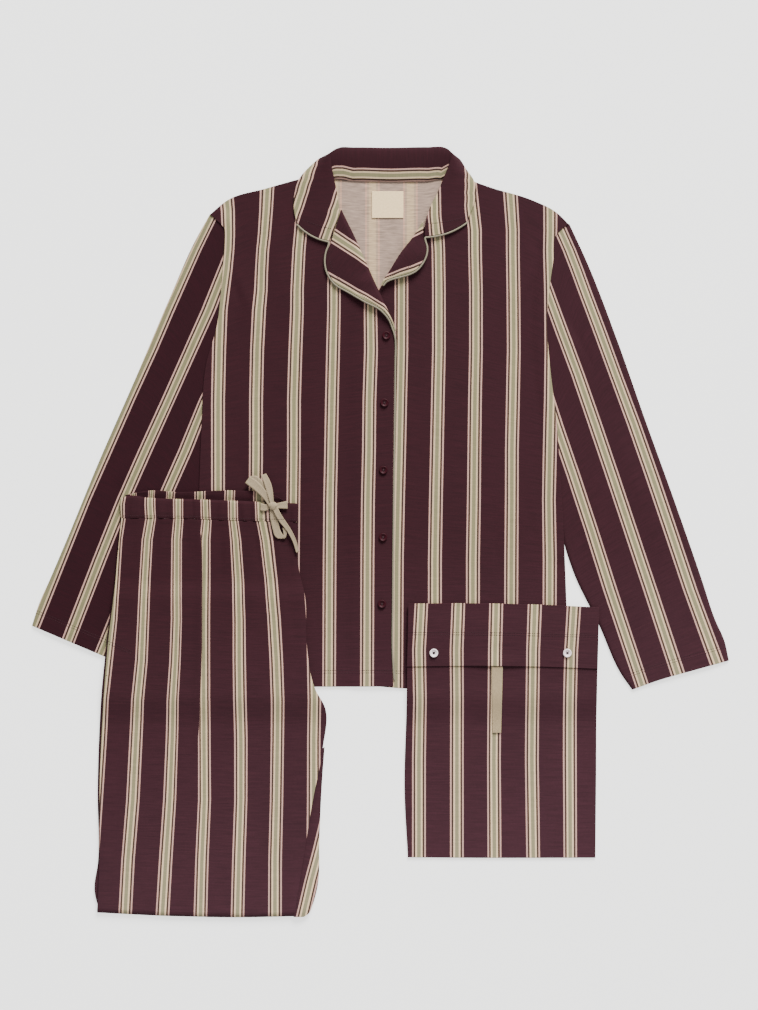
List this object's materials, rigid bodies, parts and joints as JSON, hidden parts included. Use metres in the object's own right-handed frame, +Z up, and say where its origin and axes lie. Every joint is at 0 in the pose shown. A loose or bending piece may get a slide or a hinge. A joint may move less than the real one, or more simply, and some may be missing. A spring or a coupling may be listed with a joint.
{
  "type": "pyjama set",
  "caption": "Striped jersey pyjama set laid flat: long-sleeved shirt with notched piped collar, drawstring trousers folded lengthwise, and a buttoned pouch.",
  "frame": {"origin": "centre of the bounding box in plan, on the surface that the set lies on", "axes": "+Y from the shirt's hem to its collar, +X to the viewer's right seen from above, +Z up from the surface"},
  "size_m": [0.942, 1.0405, 0.0165],
  "materials": {
    "burgundy_stripe": "matt cotton jersey, dark burgundy with vertical cream, pink and sage stripes",
    "wrong_side": "matt jersey, pale heathered wrong side",
    "piping": "matt grey-green cord piping",
    "label": "matt cream woven label, bare",
    "tape": "matt beige cotton tape, bare",
    "shirt_button": "glossy dark burgundy",
    "pouch_button": "glossy white"
  },
  "bodies": {
    "root": {"shirt_back": "wrong_side", "shirt_front_over": "burgundy_stripe", "shirt_front_under": "burgundy_stripe", "sleeve_left": "burgundy_stripe", "sleeve_right": "burgundy_stripe", "collar": "burgundy_stripe", "facing_left": "burgundy_stripe", "facing_right": "burgundy_stripe", "piping_left": "piping", "piping_right": "piping", "neck_label": "label", "trousers_front": "burgundy_stripe", "trousers_back": "burgundy_stripe", "trousers_under": "burgundy_stripe", "waistband_front": "burgundy_stripe", "waistband_back": "wrong_side", "drawstring": "tape", "pouch_back": "burgundy_stripe", "pouch_front": "burgundy_stripe", "pouch_flap": "burgundy_stripe", "pouch_tab": "tape", "shirt_button_1": "shirt_button", "shirt_button_2": "shirt_button", "shirt_button_3": "shirt_button", "shirt_button_4": "shirt_button", "shirt_button_5": "shirt_button", "pouch_button_1": "pouch_button", "pouch_button_2": "pouch_button"}
  },
  "joints": []
}
